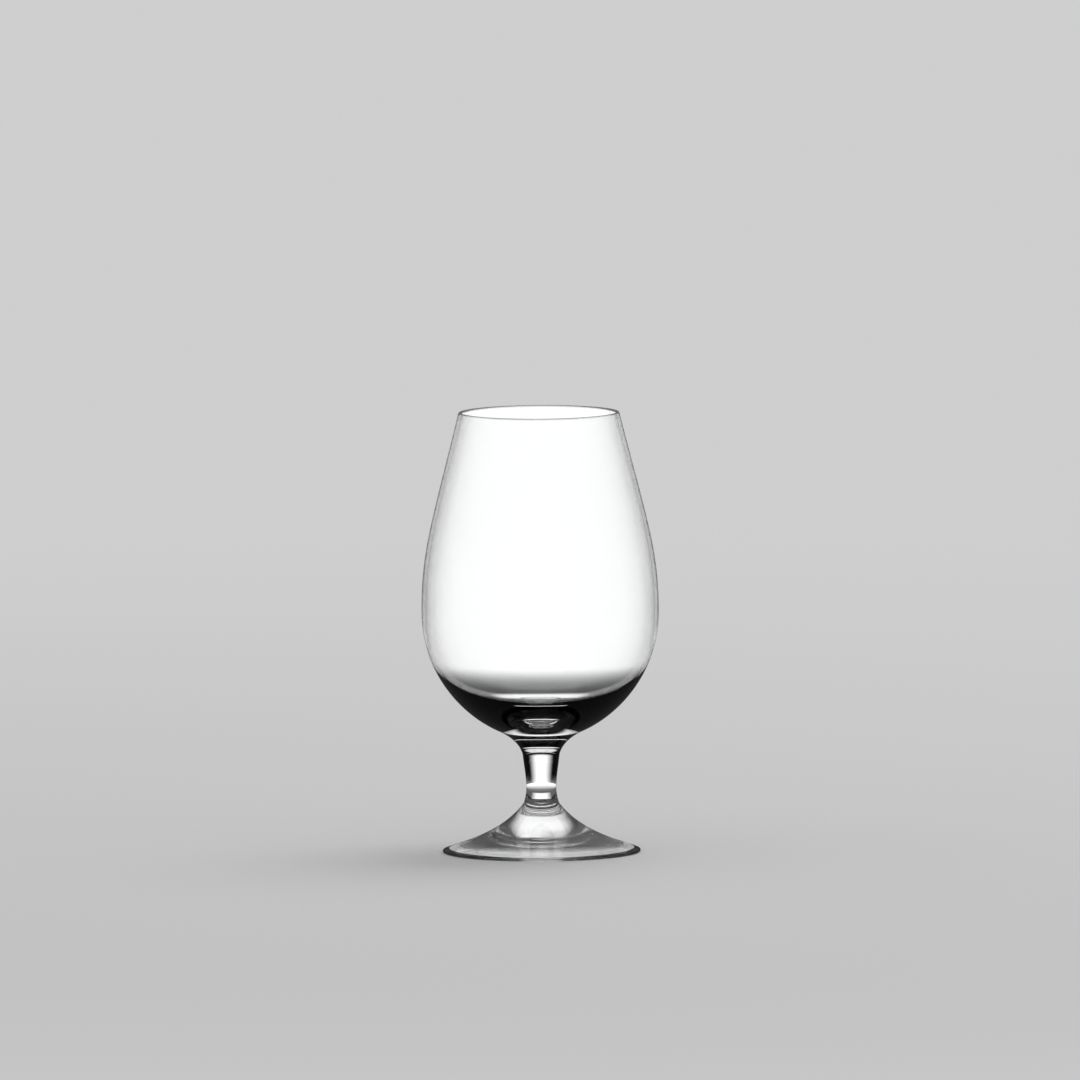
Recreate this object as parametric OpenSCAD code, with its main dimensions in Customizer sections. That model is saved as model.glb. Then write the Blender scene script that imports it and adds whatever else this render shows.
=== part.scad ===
// Whisky nosing glass: a tulip bowl, a short waisted stem and a low conical foot.
// Three gathers of clear glass, each turned about Z and fused to the next on a flat round face.
// Millimetres, +Z up, with the origin at the centre of the circle that stands on the table.

/* [Bowl] */
// Height of the bowl from its joint with the stem to the rim
bowl_h = 105; // [96:1:125]
// Outside diameter of the bowl where it is widest
bowl_d = 72.5; // [64:0.5:84]
// Height of the widest level above the joint with the stem
belly_rise = 43.9; // [38:0.1:52]
// Outside diameter of the mouth
rim_d = 49.3; // [40:0.1:56]
// Thickness of the glass at the rim, which is rounded over
rim_wall = 1.1; // [0.8:0.1:2]
// Thickness of the glass at the widest level
belly_wall = 1.3; // [1:0.1:3]
// Depth of solid glass between the joint face and the floor of the cavity
floor_t = 12.1; // [9:0.1:18]
// Outside diameter at which the round of the bowl turns into the neck
neck_flare_d = 26.4; // [20:0.2:32]
// Height of that turn above the joint with the stem
neck_flare_rise = 7.3; // [5:0.1:9]

/* [Stem] */
// Length of the stem between its two joint faces
stem_l = 14.8; // [10:0.1:30]
// Diameter of the joint between the stem and the bowl
neck_d = 11.3; // [10:0.1:14]
// Diameter of the stem where it is narrowest
waist_d = 9.2; // [8:0.1:11]
// Height of the narrowest level above the joint with the foot
waist_rise = 4.4; // [3:0.1:7]
// Diameter of the joint between the stem and the foot
root_d = 10.6; // [9:0.1:14]

/* [Foot] */
// Height of the foot from the table to its joint with the stem
foot_h = 15.2; // [12:0.1:20]
// Outside diameter of the foot
foot_d = 60.5; // [50:0.5:72]
// Radius of the rounded edge of the foot
edge_r = 0.45; // [0.3:0.05:1]
// Width of the flat ring that stands on the table
land_w = 2; // [1:0.1:4]
// Height of the hollow under the middle of the foot
kick_h = 3; // [0.5:0.1:6]

/* [Slopes] */
// Lean of the bowl's side inwards at the rim, from upright
rim_lean = 14; // [6:0.5:20]
// Slope of the bowl's underside where it turns into the neck, from level
flare_slope = 24.5; // [14:0.5:34]
// Lean of the neck outwards at the joint with the stem, from upright
neck_lean = 16; // [4:0.5:30]
// Lean of the stem outwards at the joint with the bowl, from upright
stem_top_lean = 5.5; // [0:0.5:14]
// Lean of the stem outwards at the joint with the foot, from upright
stem_root_lean = 14; // [0:0.5:24]
// Lean of the foot outwards at the joint with the stem, from upright
foot_root_lean = 36; // [20:0.5:45]
// Slope of the foot's upper side at its edge, from level
edge_slope = 22; // [10:0.5:28]
// Slope of the hollow at the ring that stands on the table, from level
kick_slope = 17.5; // [2:0.5:24]

/* [Smoothness] */
// Straight pieces in each curve of an outline
curve_steps = 14; // [8:1:24]

/* [Hidden] */

// Headings of the upright and the level tangents, and of a quarter and a half turn, in degrees
up = 90;
inwards = 180;
down = 270;

// Heights of the joints and of the levels that the outlines pass through
stem_top = foot_h + stem_l;
rim_z = stem_top + bowl_h;
belly_z = stem_top + belly_rise;
floor_z = stem_top + floor_t;
flare_z = stem_top + neck_flare_rise;
waist_z = foot_h + waist_rise;

// How hard each curve pulls along its first and last tangents, as a share of the curve's span
side_pull_shares = [0.30, 0.57];
underside_pull_shares = [0.29, 0.43];
neck_pull_shares = [0.35, 0.35];
cavity_side_pull_shares = [0.57, 0.30];
cavity_floor_pull_shares = [0.51, 0.44];
stem_top_pull_shares = [0.34, 0.34];
stem_root_pull_shares = [0.34, 0.34];
foot_pull_shares = [0.165, 0.415];
kick_pull_shares = [0.57, 0.63];

// A station on an outline is [distance from the axis, height, heading of the outline there].
function place(s) = [s[0], s[1]];
function tangent(s) = [cos(s[2]), sin(s[2])];

// Points of a smooth curve from station a up to, but not at, station b
function curve(a, b, pull_shares) =
    let (span = norm(place(b) - place(a)))
    let (c = place(a) + pull_shares[0] * span * tangent(a))
    let (d = place(b) - pull_shares[1] * span * tangent(b))
    [for (i = [0 : curve_steps - 1])
        let (t = i / curve_steps, u = 1 - t)
        u * u * u * place(a) + 3 * u * u * t * c + 3 * u * t * t * d + t * t * t * place(b)];

// Points of a round of radius r about centre, between two directions
function round_over(centre, r, from, to) =
    [for (i = [0 : curve_steps])
        let (a = from + (to - from) * i / curve_steps)
        centre + r * [cos(a), sin(a)]];

// Turns an outline about the axis of the glass
module turned(outline) {
    rotate_extrude($fn = 96) polygon(outline);
}

// Bowl: neck, round underside, leaning side, rounded rim, and the cavity down to its floor
module bowl() {
    lip_r = rim_wall / 2;
    lip = [rim_d / 2 - lip_r, rim_z - lip_r];
    lip_out = lip + lip_r * [cos(rim_lean), sin(rim_lean)];
    lip_in = lip - lip_r * [cos(rim_lean), sin(rim_lean)];
    joint = [neck_d / 2, stem_top, up - neck_lean];
    flare = [neck_flare_d / 2, flare_z, flare_slope];
    belly = [bowl_d / 2, belly_z, up];
    mouth = [lip_out[0], lip_out[1], up + rim_lean];
    throat = [lip_in[0], lip_in[1], down + rim_lean];
    cavity_belly = [bowl_d / 2 - belly_wall, belly_z, down];
    cavity_floor = [0, floor_z, inwards];
    color([0.86, 0.92, 0.94, 0.45])
        turned(concat(
            [[0, stem_top]],
            curve(joint, flare, neck_pull_shares),
            curve(flare, belly, underside_pull_shares),
            curve(belly, mouth, side_pull_shares),
            round_over(lip, lip_r, rim_lean, inwards + rim_lean),
            [for (p = curve(throat, cavity_belly, cavity_side_pull_shares)) if (p != lip_in) p],
            curve(cavity_belly, cavity_floor, cavity_floor_pull_shares),
            [place(cavity_floor)]
        ));
}

// Stem: a solid column, narrowest low down, with a flat round face at each end
module stem() {
    root = [root_d / 2, foot_h, up + stem_root_lean];
    waist = [waist_d / 2, waist_z, up];
    top = [neck_d / 2, stem_top, up - stem_top_lean];
    color([0.80, 0.88, 0.92, 0.6])
        turned(concat(
            [[0, foot_h]],
            curve(root, waist, stem_root_pull_shares),
            curve(waist, top, stem_top_pull_shares),
            [place(top), [0, stem_top]]
        ));
}

// Foot: a low hollow cone that sweeps up into the stem, standing on a flat ring at its edge
module foot() {
    edge = [foot_d / 2 - edge_r, edge_r];
    brow_a = up - edge_slope;
    brow = edge + edge_r * [cos(brow_a), sin(brow_a)];
    brow_out = [brow[0], brow[1], inwards - edge_slope];
    root = [root_d / 2, foot_h, up + foot_root_lean];
    land_in = [edge[0] - land_w, 0, -kick_slope];
    kick_top = [0, kick_h, 0];
    color([0.83, 0.90, 0.93, 0.5])
        turned(concat(
            curve(kick_top, land_in, kick_pull_shares),
            [place(land_in)],
            round_over(edge, edge_r, -up, brow_a),
            [for (p = curve(brow_out, root, foot_pull_shares)) if (p != brow) p],
            [place(root), [0, foot_h]]
        ));
}

bowl();
stem();
foot();
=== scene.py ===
"""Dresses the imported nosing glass: three turned pieces of clear glass on a pale studio table."""
import math

import bmesh
import bpy
from mathutils import Matrix, Vector


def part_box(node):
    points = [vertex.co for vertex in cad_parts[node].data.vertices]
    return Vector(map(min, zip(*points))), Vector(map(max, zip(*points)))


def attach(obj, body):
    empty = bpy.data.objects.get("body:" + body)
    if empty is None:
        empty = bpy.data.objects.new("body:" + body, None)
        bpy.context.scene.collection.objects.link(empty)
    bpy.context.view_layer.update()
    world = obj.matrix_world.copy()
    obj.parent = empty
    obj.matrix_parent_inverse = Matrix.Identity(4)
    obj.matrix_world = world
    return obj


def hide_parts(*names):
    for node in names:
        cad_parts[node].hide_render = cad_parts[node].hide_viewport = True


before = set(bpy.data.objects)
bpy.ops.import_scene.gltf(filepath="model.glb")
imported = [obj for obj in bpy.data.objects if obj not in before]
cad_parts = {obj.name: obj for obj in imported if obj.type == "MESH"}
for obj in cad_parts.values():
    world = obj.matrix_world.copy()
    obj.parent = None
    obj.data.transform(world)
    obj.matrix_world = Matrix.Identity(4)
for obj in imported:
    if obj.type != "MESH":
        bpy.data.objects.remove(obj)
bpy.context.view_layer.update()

bl_info = {
    "name": "Nosing Glass",
    "version": (1, 0, 0),
    "blender": (4, 5, 0),
    "location": "3D View > Sidebar > Nosing Glass",
    "description": "Dresses a turned nosing glass in clear, fire-polished glass on a pale table",
    "category": "Add Mesh",
}

MM = 0.001
WHITE = (1, 1, 1, 1)

FOOT_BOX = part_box("foot")
STEM_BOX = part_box("stem")
BOWL_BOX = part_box("bowl")

TABLE_Z = FOOT_BOX[0][2]
ROOT_Z = STEM_BOX[0][2]
NECK_Z = STEM_BOX[1][2]
RIM_Z = BOWL_BOX[1][2]

# Diameters in millimetres of the joints at the top and the bottom of the stem
NECK_ACROSS, ROOT_ACROSS = 11.3, 10.6

# Headings of an outline, anticlockwise from straight out of the axis
OUT, UP, IN, DOWN = 0.0, math.radians(90), math.radians(180), math.radians(270)


def size(name, description, default, smallest=0.0):
    """A length that the user may change, given in millimetres and kept in metres."""
    return bpy.props.FloatProperty(
        name=name,
        description=description,
        default=default * MM,
        min=smallest * MM,
        precision=5,
        unit="LENGTH",
    )


def angle(name, description, default):
    """An angle that the user may change, given in degrees and kept in radians."""
    return bpy.props.FloatProperty(
        name=name, description=description, default=math.radians(default), precision=2, subtype="ANGLE"
    )


def share(name, description, default, most=1.0):
    """A share from none to all, or somewhat beyond."""
    return bpy.props.FloatProperty(
        name=name, description=description, default=default, min=0, max=most, precision=3, subtype="FACTOR"
    )


def pulls(name, description, default):
    """How hard a curve follows its first and last headings, as shares of its span."""
    return bpy.props.FloatVectorProperty(
        name=name, description=description, default=default, size=2, min=0, max=1, precision=3
    )


def colour(name, description, default):
    """A plain colour."""
    return bpy.props.FloatVectorProperty(
        name=name, description=description, default=default, size=3, min=0, max=1, subtype="COLOR"
    )


def count(name, description, default, fewest, most):
    """A whole number."""
    return bpy.props.IntProperty(name=name, description=description, default=default, min=fewest, max=most)


class BowlShape(bpy.types.PropertyGroup):
    """Outline of the bowl, between the joint with the stem and the rim."""

    across: size("Belly", "Outside diameter where the bowl is widest", (BOWL_BOX[1][0] - BOWL_BOX[0][0]) / MM)
    belly_rise: size("Belly rise", "Height of the widest level above the joint", 43.9)
    rim_across: size("Rim", "Outside diameter of the mouth", 49.3)
    rim_wall: size("Rim wall", "Thickness of the glass at the rounded rim", 1.1, 0.2)
    belly_wall: size("Belly wall", "Thickness of the glass at the widest level", 1.3, 0.2)
    floor_rise: size("Floor rise", "Depth of solid glass under the cavity", 12.1, 1)
    neck_across: size("Neck", "Diameter of the joint with the stem", NECK_ACROSS)
    flare_across: size("Flare", "Diameter at which the neck turns into the round of the bowl", 26.4)
    flare_rise: size("Flare rise", "Height of that turn above the joint", 7.3)
    rim_lean: angle("Rim lean", "Lean of the side inwards at the rim", 14)
    flare_slope: angle("Flare slope", "Slope of the underside at the flare, from level", 24.5)
    neck_lean: angle("Neck lean", "Lean of the neck outwards at the joint", 16)
    neck_pulls: pulls("Neck curve", "Shape of the neck", (0.35, 0.35))
    under_pulls: pulls("Underside curve", "Shape of the round underside", (0.29, 0.43))
    side_pulls: pulls("Side curve", "Shape of the leaning side", (0.30, 0.57))
    wall_pulls: pulls("Inner side curve", "Shape of the cavity's side", (0.57, 0.30))
    floor_pulls: pulls("Inner floor curve", "Shape of the cavity's floor", (0.51, 0.44))


class StemShape(bpy.types.PropertyGroup):
    """Outline of the short waisted stem."""

    neck_across: size("Top", "Diameter of the joint with the bowl", NECK_ACROSS)
    waist_across: size("Waist", "Diameter where the stem is narrowest", 9.2)
    waist_rise: size("Waist rise", "Height of the narrowest level above the joint with the foot", 4.4)
    root_across: size("Root", "Diameter of the joint with the foot", ROOT_ACROSS)
    top_lean: angle("Top lean", "Lean outwards at the joint with the bowl", 5.5)
    root_lean: angle("Root lean", "Lean outwards at the joint with the foot", 14)
    top_pulls: pulls("Upper curve", "Shape of the stem above its waist", (0.34, 0.34))
    root_pulls: pulls("Lower curve", "Shape of the stem below its waist", (0.34, 0.34))


class FootShape(bpy.types.PropertyGroup):
    """Outline of the low foot and the hollow under it."""

    across: size("Foot", "Outside diameter of the foot", (FOOT_BOX[1][0] - FOOT_BOX[0][0]) / MM)
    root_across: size("Root", "Diameter of the joint with the stem", ROOT_ACROSS)
    edge_round: size("Edge round", "Radius of the rounded edge", 0.45, 0.1)
    ring_width: size("Standing ring", "Width of the flat ring that stands on the table", 2.0, 0.2)
    hollow_rise: size("Hollow", "Height of the hollow under the middle", 3.0)
    root_lean: angle("Root lean", "Lean outwards at the joint with the stem", 36)
    edge_slope: angle("Edge slope", "Slope of the upper side at the edge, from level", 22)
    hollow_slope: angle("Hollow slope", "Slope of the hollow at the standing ring, from level", 17.5)
    top_pulls: pulls("Upper curve", "Shape of the upper side", (0.165, 0.415))
    hollow_pulls: pulls("Hollow curve", "Shape of the hollow", (0.57, 0.63))


class GlassFinish(bpy.types.PropertyGroup):
    """The clear glass, how finely it is turned, and how far it strays from a true round."""

    facets: count("Facets", "Faces round the axis of each piece", 288, 48, 720)
    steps: count("Curve steps", "Straight pieces in each curve of an outline", 56, 6, 120)
    ripple: size("Ripple", "How far the fire-polished surface wanders inwards from a true round", 0.03)
    tint: colour("Tint", "Share of light that each surface lets through", (0.992, 0.996, 0.996))
    refraction: bpy.props.FloatProperty(
        name="Refraction", description="Index of refraction of the glass", default=1.52, min=1.3, max=1.9
    )
    dullness: share("Dullness", "Roughness of the polished surface where it is dullest", 0.08)
    peel: size("Orange peel", "Height of the finest waves on the polished surface", 0.0003)
    rim_clearness: share("Rim clearness", "Share of light that the rim does not scatter", 0.7)
    under_clearness: share("Underside clearness", "Share of light that the underside does not scatter", 0.84)
    under_reach: size("Underside reach", "Diameter to which the foot's underside is dull", 48)
    under_dullness: share("Underside dullness", "Roughness of the foot's underside where it is dullest", 0.5)
    under_peel: size("Underside waves", "Height of the finest waves on the foot's underside", 0.003)


class TableStage(bpy.types.PropertyGroup):
    """The pale table, its light, the light and shade painted on the table and in the room for the glass
    alone, and the camera.
    """

    table_colour: colour("Table colour", "Colour of the table and of the room behind it", (0.62, 0.62, 0.62))
    table_reach: size("Table reach", "Distance from the glass to the edge of the table", 60000)
    even_from: size("Even from", "Distance at which the table starts to melt into the room", 250)
    even_to: size("Even to", "Distance from which table and room are one plain colour", 1100)
    soft_light: share("Soft light", "Brightness of the room on the table", 0.7, 4)
    lamp_power: bpy.props.FloatProperty(
        name="Lamp power", description="Power of the soft lamp", default=9.0, min=0, unit="POWER"
    )
    lamp_across: size("Lamp size", "Diameter of the soft lamp", 1400)
    lamp_place: bpy.props.FloatVectorProperty(
        name="Lamp place", description="Place of the soft lamp", default=(0.5, 0.6, 1.7), unit="LENGTH"
    )
    # From here to the outer reflections: what the glass alone sees of table and room, with light and shade
    # painted as glowing and black emission
    shown: share("Shown light", "Brightness of the lit panel and of the open table in the glass", 1.2, 2)
    straight_full: angle("Straight, full", "Angle from straight behind of full light, seen straight", 6)
    straight_end: angle("Straight, end", "Angle at which that light has faded out", 34)
    panel_full: angle("Panel, full", "Angle from straight behind of the full lit panel, in reflections", 15)
    panel_end: angle("Panel, end", "Angle from straight behind at which the panel has faded out", 42)
    panel_low: angle("Panel, lower", "Height above the horizon up to which the panel is full", 12)
    panel_top: angle("Panel, upper", "Height above the horizon at which the panel has faded out", 24)
    crown: share("Ceiling light", "Brightness overhead, as the glass shows it", 0.8)
    crown_low: angle("Ceiling, lower", "Height above the horizon at which the ceiling light starts", 40)
    crown_top: angle("Ceiling, upper", "Height above the horizon from which the ceiling light is full", 55)
    # Painted light: a glowing ring of table under the foot, shown only after many reflections
    foot_light: share("Light under the foot", "Share of light under the foot, deep in the glass", 1.0)
    foot_depth: count("Foot depth", "Reflections after which that light shows", 3, 0, 20)
    foot_from: size("Foot light from", "Distance from which the table under the foot is lit", 12)
    foot_to: size("Foot light to", "Distance to which the table under the foot is lit", 30)
    # Painted shade: the far table beside the panel is painted dark
    beside: share("Beside the panel", "Brightness of the far table outside the panel", 0.1)
    dusk_from: size("Dusk from", "Distance at which the table outside the panel starts to darken", 600)
    dusk_to: size("Dusk to", "Distance from which the table outside the panel is dark", 850)
    # Painted shade: the table near the glass is painted dark, lifting to painted light far off, with a
    # painted lit ring straight behind
    shade: share("Shade", "Brightness of the table close to the glass", 0.1)
    mirror_reach: size("Mirror reach", "Distance within which the table is a mirror, seen straight", 40)
    near_from: size("Near light, full", "Distance up to which the table is lit, straight behind", 65)
    near_to: size("Near light, end", "Distance from which it is shaded there", 80)
    shade_from: size("Shade from", "Distance at which the shade starts to lift", 60)
    shade_to: size("Shade to", "Distance from which the table is fully lit", 420)
    # Painted shade: after this many reflections the glass shows the room black
    dark_after_reflections: count("Deepest sight", "Reflections after which light in the glass has died away", 3, 0, 20)
    # Painted shade: reflections off the glass show the room nearly black
    outer: share("Outer reflections", "Brightness of the room in reflections off the glass", 0.05)
    view_distance: size("Camera distance", "Distance from the camera to the axis of the glass", 9000)
    view_width: size("View width", "Width of the view at the glass", 330)
    view_height: size("Aim height", "Height that the middle of the view shows", 95.69)
    view_aside: bpy.props.FloatProperty(
        name="Aim aside", description="Distance of the aim beside the axis", default=0.1 * MM, unit="LENGTH"
    )
    view_fall: angle("View fall", "Angle by which the camera looks down", 5.2)
    view_roll: angle("View roll", "Turn of the camera about its line of sight", 0.378)


class Value:
    """A shader socket with the operators that shader maths is written in."""

    def __init__(self, tree, socket):
        self.tree = tree
        self.socket = socket

    def maths(self, operation, *values, clamp=False):
        settings = {"operation": operation, "use_clamp": clamp}
        return self.tree.add("ShaderNodeMath", settings, dict(enumerate(values)))

    def __add__(self, other):
        return self.maths("ADD", self, other)

    def __sub__(self, other):
        return self.maths("SUBTRACT", self, other)

    def __rsub__(self, other):
        return self.maths("SUBTRACT", other, self)

    def __mul__(self, other):
        return self.maths("MULTIPLY", self, other)

    def __abs__(self):
        return self.maths("ABSOLUTE", self)

    __radd__ = __add__
    __rmul__ = __mul__

    def arctan(self, other):
        """Angle whose tangent is this over other."""
        return self.maths("ARCTAN2", self, other)

    def arcsin(self):
        return self.maths("ARCSINE", self)

    def root(self):
        return self.maths("SQRT", self)

    def larger(self, other):
        return self.maths("MAXIMUM", self, other)

    def above(self, level):
        """1 where this is above level, else 0."""
        return self.maths("GREATER_THAN", self, level)

    def held(self):
        """This value kept between 0 and 1."""
        return self.maths("ADD", self, 0.0, clamp=True)

    def ease(self, first, last):
        """0 up to first and 1 from last on, with a soft step between; last may be below first."""
        way = self.maths("DIVIDE", self - first, last - first, clamp=True)
        return way * way * (3 - 2 * way)

    def blend(self, low, high):
        """From low where this is 0 to high where this is 1."""
        return low + (high - low) * self


class Tree:
    """Adds nodes to the tree of one material or world."""

    def __init__(self, owner):
        owner.use_nodes = True
        self.tree = owner.node_tree
        self.tree.nodes.clear()

    def add(self, kind, settings=None, sockets=None, output=0):
        """Makes a node, sets its settings, then its sockets' values or links, and gives one output."""
        node = self.tree.nodes.new(kind)
        for name, setting in (settings or {}).items():
            setattr(node, name, setting)
        for name, value in (sockets or {}).items():
            if isinstance(value, Value):
                self.tree.links.new(value.socket, node.inputs[name])
            else:
                node.inputs[name].default_value = value
        return Value(self, node.outputs[output]) if node.outputs else None

    def also(self, value, output):
        """Another output of the node that value comes from."""
        return Value(self, value.socket.node.outputs[output])


def glow(tree, kind, strength, tint=WHITE):
    """Light of one strength: the emission of a surface, or the background of a world."""
    return tree.add(kind, None, {"Color": tint, "Strength": strength})


def mixed(tree, factor, first, second):
    """The shader first where the factor is 0, and second where it is 1."""
    return tree.add("ShaderNodeMixShader", None, {0: factor, 1: first, 2: second})


def heading(turn):
    """Unit step of an outline in a direction."""
    return Vector((math.cos(turn), math.sin(turn)))


def curve(start, end, pull, steps):
    """Points of a smooth curve between two stations (across, height, heading), without the last."""
    a, b = Vector(start[:2]), Vector(end[:2])
    span = (b - a).length
    c = a + heading(start[2]) * pull[0] * span
    d = b - heading(end[2]) * pull[1] * span
    points = []
    for i in range(steps):
        t = i / steps
        u = 1 - t
        points.append(u**3 * a + 3 * u * u * t * c + 3 * u * t * t * d + t**3 * b)
    return points


def round_over(middle, radius, first, last, steps):
    """Points of a round about middle, between two directions, without the last."""
    return [middle + radius * heading(first + (last - first) * i / steps) for i in range(steps)]


def bowl_outline(bowl, steps):
    """From the middle of the joint up the outside, over the rim and down to the cavity's floor."""
    lip = Vector((bowl.rim_across / 2 - bowl.rim_wall / 2, RIM_Z - bowl.rim_wall / 2))
    outside = lip + heading(bowl.rim_lean) * bowl.rim_wall / 2
    inside = lip - heading(bowl.rim_lean) * bowl.rim_wall / 2
    belly_z = NECK_Z + bowl.belly_rise
    joint = (bowl.neck_across / 2, NECK_Z, UP - bowl.neck_lean)
    flare = (bowl.flare_across / 2, NECK_Z + bowl.flare_rise, bowl.flare_slope)
    belly = (bowl.across / 2, belly_z, UP)
    inner_belly = (bowl.across / 2 - bowl.belly_wall, belly_z, DOWN)
    floor = (0.0, NECK_Z + bowl.floor_rise, IN)
    return [
        ("joint", [Vector((0, NECK_Z))]),
        ("polished", curve(joint, flare, bowl.neck_pulls, steps)
        + curve(flare, belly, bowl.under_pulls, steps)
        + curve(belly, (*outside, UP + bowl.rim_lean), bowl.side_pulls, steps)
        + [Vector(outside)]),
        ("rim", round_over(lip, bowl.rim_wall / 2, bowl.rim_lean, IN + bowl.rim_lean, steps)[1:]),
        ("polished", curve((*inside, DOWN + bowl.rim_lean), inner_belly, bowl.wall_pulls, steps)
        + curve(inner_belly, floor, bowl.floor_pulls, steps)
        + [Vector(floor[:2])]),
    ]


def stem_outline(stem, steps):
    """From the middle of the lower joint up the side to the middle of the upper one."""
    root = (stem.root_across / 2, ROOT_Z, UP + stem.root_lean)
    waist = (stem.waist_across / 2, ROOT_Z + stem.waist_rise, UP)
    neck = (stem.neck_across / 2, NECK_Z, UP - stem.top_lean)
    return [
        ("joint", [Vector((0, ROOT_Z))]),
        ("polished", curve(root, waist, stem.root_pulls, steps) + curve(waist, neck, stem.top_pulls, steps)),
        ("joint", [Vector(neck[:2])]),
        ("joint", [Vector((0, NECK_Z))]),
    ]


def foot_outline(foot, steps):
    """From the top of the hollow down to the standing ring, round the edge and up to the stem."""
    edge = Vector((foot.across / 2 - foot.edge_round, TABLE_Z + foot.edge_round))
    brow_turn = UP - foot.edge_slope
    brow = edge + heading(brow_turn) * foot.edge_round
    ring = (edge.x - foot.ring_width, TABLE_Z, -foot.hollow_slope)
    root = (foot.root_across / 2, ROOT_Z, UP + foot.root_lean)
    hollow = curve((0.0, TABLE_Z + foot.hollow_rise, OUT), ring, foot.hollow_pulls, steps)
    reach = bpy.context.scene.glass_finish.under_reach / 2
    return [
        ("dull", [point for point in hollow if point.x <= reach]),
        ("polished", [point for point in hollow if point.x > reach]),
        ("polished", [Vector(ring[:2])]
        + round_over(edge, foot.edge_round, -UP, brow_turn, steps // 2)
        + curve((*brow, IN - foot.edge_slope), root, foot.top_pulls, steps)),
        ("joint", [Vector(root[:2])]),
        ("joint", [Vector((0, ROOT_Z))]),
    ]


# Waves of the surface: how many go round, how many fit the height of the glass, their share and phase
RIPPLES = ((2, 1.3, 0.34, 0.4), (3, 2.1, 0.26, 2.1), (5, 1.7, 0.22, 4.0), (8, 3.4, 0.18, 5.2))
CALM_REACH = 3 * MM


def ripple(turn, z):
    """How far the surface has wandered inwards, from 0 to 1; none at the table and at the joints."""
    rise = 2 * math.pi * (z - TABLE_Z) / (RIM_Z - TABLE_Z)
    wave = sum(part * math.sin(around * turn + up * rise + phase) for around, up, part, phase in RIPPLES)
    away = min(abs(z - level) for level in (TABLE_Z, ROOT_Z, NECK_Z))
    calm = min(away / CALM_REACH, 1.0)
    return (0.5 + 0.5 * wave) * calm * calm * (3 - 2 * calm)


# An outline that turns by more than this has a real edge there
CREASE = math.radians(12)
# A point that is nearer to the axis than this lies on it
ON_AXIS = MM / 1000


def level_ring(mesh, across, z, finish):
    """Corners round one level of a piece. On the axis they are all the same one."""
    if across < ON_AXIS:
        return [mesh.verts.new((0, 0, z))] * finish.facets
    ring = []
    for i in range(finish.facets):
        turn = 2 * math.pi * i / finish.facets
        reach = across - finish.ripple * ripple(turn, z)
        ring.append(mesh.verts.new((reach * math.cos(turn), reach * math.sin(turn), z)))
    return ring


def turn_piece(name, node, stretches):
    """Turns an outline into a closed mesh. Each of its stretches has its own surface."""
    finish = bpy.context.scene.glass_finish
    mesh = bmesh.new()
    points = [(point, surface) for surface, stretch in stretches for point in stretch]
    surfaces = sorted({surface for _, surface in points}, reverse=True)
    rings = [level_ring(mesh, across, z, finish) for (across, z), _ in points]
    for (_, surface), below, above in zip(points, rings, rings[1:]):
        for i in range(finish.facets):
            j = (i + 1) % finish.facets
            face = mesh.faces.new(list(dict.fromkeys((below[i], below[j], above[j], above[i]))))
            face.smooth = surface != "joint"
            face.material_index = surfaces.index(surface)
    for (before, _), (here, _), (after, _), ring in zip(points, points[1:], points[2:], rings[1:]):
        if (here - before).angle(after - here) > CREASE:
            for i in range(finish.facets):
                mesh.edges.get((ring[i], ring[(i + 1) % finish.facets])).smooth = False
    bmesh.ops.recalc_face_normals(mesh, faces=mesh.faces)
    data = bpy.data.meshes.new(name)
    mesh.to_mesh(data)
    mesh.free()
    for surface in surfaces:
        data.materials.append(SURFACES[surface]())
    piece = bpy.data.objects.new(name, data)
    bpy.context.scene.collection.objects.link(piece)
    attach(piece, "root")
    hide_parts(node)


# Scales of the clouds and the grain in the surface, and the share of the grain in its waves
CLOUDS, GRAIN = 60.0, 900.0
GRAIN_WAVES = 0.15
# Where the clouds start and are full, and the least share of the dullness outside clouds and grain
CLOUD_EDGES = (0.45, 0.8)
OUTSIDE_CLOUDS, OUTSIDE_GRAIN = 0.3, 0.4


def glass(name, clearness, dullness, peel):
    """Clear glass with faint waves on it and a polish that varies a little."""
    material = bpy.data.materials.get(name)
    if material:
        return material
    finish = bpy.context.scene.glass_finish
    material = bpy.data.materials.new(name)
    tree = Tree(material)
    place = tree.add("ShaderNodeTexCoord", output="Object")
    cloud = tree.add("ShaderNodeTexNoise", None, {"Vector": place, "Scale": CLOUDS, "Detail": 3.0})
    grain = tree.add("ShaderNodeTexNoise", None, {"Vector": place, "Scale": GRAIN, "Detail": 2.0})
    height = cloud + GRAIN_WAVES * grain
    waves = tree.add("ShaderNodeBump", None, {"Strength": 1.0, "Distance": peel, "Height": height})
    patches = cloud.ease(*CLOUD_EDGES).blend(OUTSIDE_CLOUDS, 1.0) * grain.blend(OUTSIDE_GRAIN, 1.0)
    surface = tree.add(
        "ShaderNodeBsdfPrincipled",
        None,
        {
            "Base Color": (*finish.tint, 1),
            "Roughness": dullness * patches,
            "IOR": finish.refraction,
            "Transmission Weight": clearness,
            "Normal": waves,
        },
    )
    tree.add("ShaderNodeOutputMaterial", None, {"Surface": surface})
    return material


def polished_glass():
    """The fire-polished surface of the bowl, the stem and the top of the foot."""
    finish = bpy.context.scene.glass_finish
    return glass("polished_glass", 1.0, finish.dullness, finish.peel)


def rim_glass():
    """The rim, melted round, which catches a little more light."""
    finish = bpy.context.scene.glass_finish
    return glass("rim_glass", finish.rim_clearness, finish.dullness, finish.peel)


def dull_glass():
    """The pressed underside of the foot, which the fire reached least."""
    finish = bpy.context.scene.glass_finish
    return glass("dull_glass", finish.under_clearness, finish.under_dullness, finish.under_peel)


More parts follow.
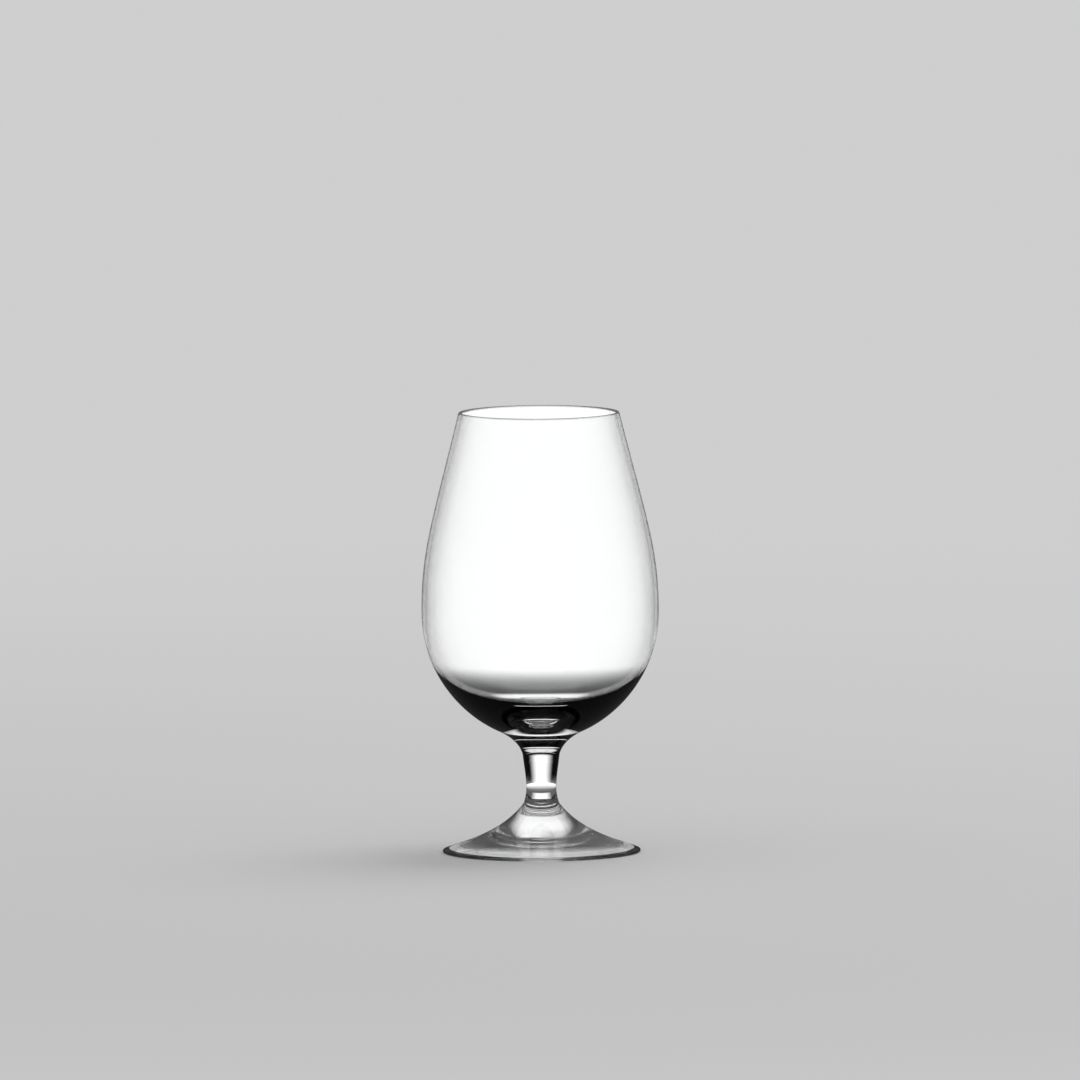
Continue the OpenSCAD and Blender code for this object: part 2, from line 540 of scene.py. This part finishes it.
def fused_joint():
    """The face where two gathers of glass were fused hot: nothing of it shows."""
    material = bpy.data.materials.get("fused_joint")
    if material:
        return material
    material = bpy.data.materials.new("fused_joint")
    tree = Tree(material)
    clear = tree.add("ShaderNodeBsdfTransparent", None, {"Color": WHITE})
    tree.add("ShaderNodeOutputMaterial", None, {"Surface": clear})
    return material


SURFACES = {"polished": polished_glass, "rim": rim_glass, "dull": dull_glass, "joint": fused_joint}


class MakeBowl(bpy.types.Operator):
    """Turns the bowl: neck, round underside, leaning side, rounded rim and cavity"""

    bl_idname = "glass.bowl"
    bl_label = "Bowl"

    def execute(self, context):
        scene = context.scene
        turn_piece("glass_bowl", "bowl", bowl_outline(scene.bowl_shape, scene.glass_finish.steps))
        return {"FINISHED"}


class MakeStem(bpy.types.Operator):
    """Turns the short waisted stem"""

    bl_idname = "glass.stem"
    bl_label = "Stem"

    def execute(self, context):
        scene = context.scene
        turn_piece("glass_stem", "stem", stem_outline(scene.stem_shape, scene.glass_finish.steps))
        return {"FINISHED"}


class MakeFoot(bpy.types.Operator):
    """Turns the low foot with its hollow and its standing ring"""

    bl_idname = "glass.foot"
    bl_label = "Foot"

    def execute(self, context):
        scene = context.scene
        turn_piece("glass_foot", "foot", foot_outline(scene.foot_shape, scene.glass_finish.steps))
        return {"FINISHED"}


class Sight:
    """Which way light takes: straight to the eye, or through glass and how many reflections in it."""

    def __init__(self, tree):
        path = tree.add("ShaderNodeLightPath")
        lit_paint = tree.also(path, "Diffuse Depth").held()
        through = tree.also(path, "Is Transmission Ray")
        self.reflections = tree.also(path, "Glossy Depth")
        self.eye = tree.also(path, "Is Camera Ray")
        self.glass = tree.also(path, "Is Glossy Ray").larger(through) * (1 - lit_paint)
        self.refracted = tree.also(path, "Transmission Depth").held()

    def past(self, reflections):
        """1 for light that is reflected more often than that, else 0."""
        return self.reflections.above(reflections + 0.5)


def ahead(x, y, full, end):
    """1 straight behind and before the glass, out to the angle full, and 0 from the angle end on."""
    return abs(x).arctan(abs(y)).ease(end, full)


def table_top(stage):
    """A pale table. Glass alone sees light and shade painted on it: lit far off, painted dark nearer, and a
    mirror close by and in reflections.
    """
    material = bpy.data.materials.new("table_top")
    tree = Tree(material)
    place = tree.add("ShaderNodeTexCoord", output="Object")
    x = tree.add("ShaderNodeSeparateXYZ", None, {"Vector": place})
    y = tree.also(x, "Y")
    away = (x * x + y * y).root()
    sight = Sight(tree)
    # Painted light and shade: black and glowing emission that only the glass sees
    dark = glow(tree, "ShaderNodeEmission", 0.0)
    lit = glow(tree, "ShaderNodeEmission", stage.shown)
    mirror = tree.add("ShaderNodeBsdfAnisotropic", None, {"Color": WHITE, "Roughness": 0.0})
    # Painted shade near the glass, lifting to painted light far off, a painted lit ring straight behind, and
    # painted dark beside the panel far off
    painted_table_light = away.ease(stage.shade_from, stage.shade_to).blend(stage.shade, 1.0)
    behind = ahead(x, y, stage.straight_full, stage.straight_end)
    painted_table_light = (away.ease(stage.near_to, stage.near_from) * behind).larger(painted_table_light)
    dusk = away.ease(stage.dusk_from, stage.dusk_to) * (1 - behind)
    painted_table_light = painted_table_light * (1 - dusk * (1 - stage.beside))
    open_sight = (1 - sight.past(0)) * away.above(stage.mirror_reach)
    in_glass = mixed(tree, open_sight, mirror, mixed(tree, painted_table_light, dark, lit))
    # Painted light: a glowing ring of table under the foot, seen after many reflections
    under_foot = sight.past(stage.foot_depth) * away.above(stage.foot_from) * (1 - away.above(stage.foot_to))
    in_glass = mixed(tree, under_foot, in_glass, mixed(tree, stage.foot_light, dark, lit))
    table_colour = (*stage.table_colour, 1)
    paint = tree.add("ShaderNodeBsdfDiffuse", None, {"Color": table_colour})
    plain = glow(tree, "ShaderNodeEmission", 1.0, table_colour)
    bare = mixed(tree, away.ease(stage.even_from, stage.even_to), paint, plain)
    surface = mixed(tree, sight.glass, bare, in_glass)
    tree.add("ShaderNodeOutputMaterial", None, {"Surface": surface})
    return material


def room(stage):
    """Soft even light on the table, and light and shade painted for the glass alone: a low lit panel, and
    light overhead.
    """
    world = bpy.data.worlds.new("room")
    bpy.context.scene.world = world
    tree = Tree(world)
    direction = tree.add("ShaderNodeTexCoord", output="Generated")
    x = tree.add("ShaderNodeSeparateXYZ", None, {"Vector": direction})
    y, z = tree.also(x, "Y"), tree.also(x, "Z")
    sight = Sight(tree)
    rise = z.arcsin()
    straight = ahead(x, y, stage.straight_full, stage.straight_end)
    # Painted shade: the panel turns black in the glass after the set number of reflections
    reflected = ahead(x, y, stage.panel_full, stage.panel_end) * (1 - sight.past(stage.dark_after_reflections))
    panel = sight.past(0).blend(straight, reflected) * rise.ease(stage.panel_top, stage.panel_low)
    # Painted shade: the ceiling light turns black in the glass after one reflection
    crown = rise.ease(stage.crown_low, stage.crown_top) * stage.crown * (1 - sight.past(1))
    dark = glow(tree, "ShaderNodeBackground", 0.0)
    lit = glow(tree, "ShaderNodeBackground", stage.shown)
    soft = glow(tree, "ShaderNodeBackground", stage.soft_light)
    outer = glow(tree, "ShaderNodeBackground", stage.outer)
    plain = glow(tree, "ShaderNodeBackground", 1.0, (*stage.table_colour, 1))
    # Painted shade: reflections off the glass show the room at the dim outer level
    in_glass = mixed(tree, sight.refracted, outer, mixed(tree, panel + crown, dark, lit))
    bare = mixed(tree, sight.eye, soft, plain)
    surface = mixed(tree, sight.glass, bare, in_glass)
    tree.add("ShaderNodeOutputWorld", None, {"Surface": surface})


# Depth of the table under the standing ring, so that the two never share a face
TABLE_GAP = 0.05 * MM


def table(stage):
    """The table, one large level sheet just under the standing ring."""
    reach, level = stage.table_reach, TABLE_Z - TABLE_GAP
    corners = [(-reach, -reach, level), (reach, -reach, level), (reach, reach, level), (-reach, reach, level)]
    mesh = bpy.data.meshes.new("table")
    mesh.from_pydata(corners, [], [(0, 1, 2, 3)])
    mesh.materials.append(table_top(stage))
    sheet = bpy.data.objects.new("table", mesh)
    bpy.context.scene.collection.objects.link(sheet)


def soft_lamp(stage):
    """A wide lamp above the glass, which lights the table and isn't seen in the glass."""
    light = bpy.data.lights.new("soft_lamp", "AREA")
    light.shape = "DISK"
    light.size = stage.lamp_across
    light.energy = stage.lamp_power
    lamp = bpy.data.objects.new("soft_lamp", light)
    lamp.location = stage.lamp_place
    lamp.rotation_euler = lamp.location.to_track_quat("Z", "Y").to_euler()
    lamp.visible_glossy = False
    lamp.visible_transmission = False
    bpy.context.scene.collection.objects.link(lamp)


# Distance in metres beyond which the camera sees nothing
SIGHT_END = 100


def camera(stage):
    """A long lens at the height and angle that the glass is seen from."""
    lens = bpy.data.cameras.new("camera")
    lens.lens = lens.sensor_width * stage.view_distance / stage.view_width
    lens.clip_end = SIGHT_END
    forward = Vector((0, math.cos(stage.view_fall), -math.sin(stage.view_fall)))
    right = Vector((1, 0, 0))
    spot = Vector((0, 0, stage.view_height)) + right * stage.view_aside - forward * stage.view_distance
    turn = Matrix.Rotation(stage.view_roll, 3, forward)
    axes = Matrix((turn @ right, turn @ right.cross(forward), -forward)).transposed()
    eye = bpy.data.objects.new("camera", lens)
    eye.matrix_world = Matrix.Translation(spot) @ axes.to_4x4()
    bpy.context.scene.collection.objects.link(eye)
    bpy.context.scene.camera = eye


class MakeStage(bpy.types.Operator):
    """Sets the pale table, its soft light, the room and the camera"""

    bl_idname = "glass.stage"
    bl_label = "Table, light and camera"

    def execute(self, context):
        stage = context.scene.table_stage
        table(stage)
        room(stage)
        soft_lamp(stage)
        camera(stage)
        context.scene.view_settings.view_transform = "Standard"
        return {"FINISHED"}


GROUPS = {
    "bowl_shape": BowlShape,
    "stem_shape": StemShape,
    "foot_shape": FootShape,
    "glass_finish": GlassFinish,
    "table_stage": TableStage,
}
OPERATORS = (MakeStage, MakeBowl, MakeStem, MakeFoot)


class GlassPanel(bpy.types.Panel):
    """Sizes, finish and stage, with a button for each piece"""

    bl_idname = "VIEW3D_PT_nosing_glass"
    bl_label = "Nosing Glass"
    bl_space_type = "VIEW_3D"
    bl_region_type = "UI"
    bl_category = "Nosing Glass"

    def draw(self, context):
        for group, kind in GROUPS.items():
            box = self.layout.box()
            for name in kind.__annotations__:
                box.prop(getattr(context.scene, group), name)
        for operator in OPERATORS:
            self.layout.operator(operator.bl_idname)


def register():
    for kind in (*GROUPS.values(), *OPERATORS, GlassPanel):
        bpy.utils.register_class(kind)
    for group, kind in GROUPS.items():
        setattr(bpy.types.Scene, group, bpy.props.PointerProperty(type=kind))


def unregister():
    for group in GROUPS:
        delattr(bpy.types.Scene, group)
    for kind in reversed((*GROUPS.values(), *OPERATORS, GlassPanel)):
        bpy.utils.unregister_class(kind)


def main():
    register()
    bpy.ops.glass.stage()
    bpy.ops.glass.bowl()
    bpy.ops.glass.stem()
    bpy.ops.glass.foot()


if __name__ == "__main__":
    main()
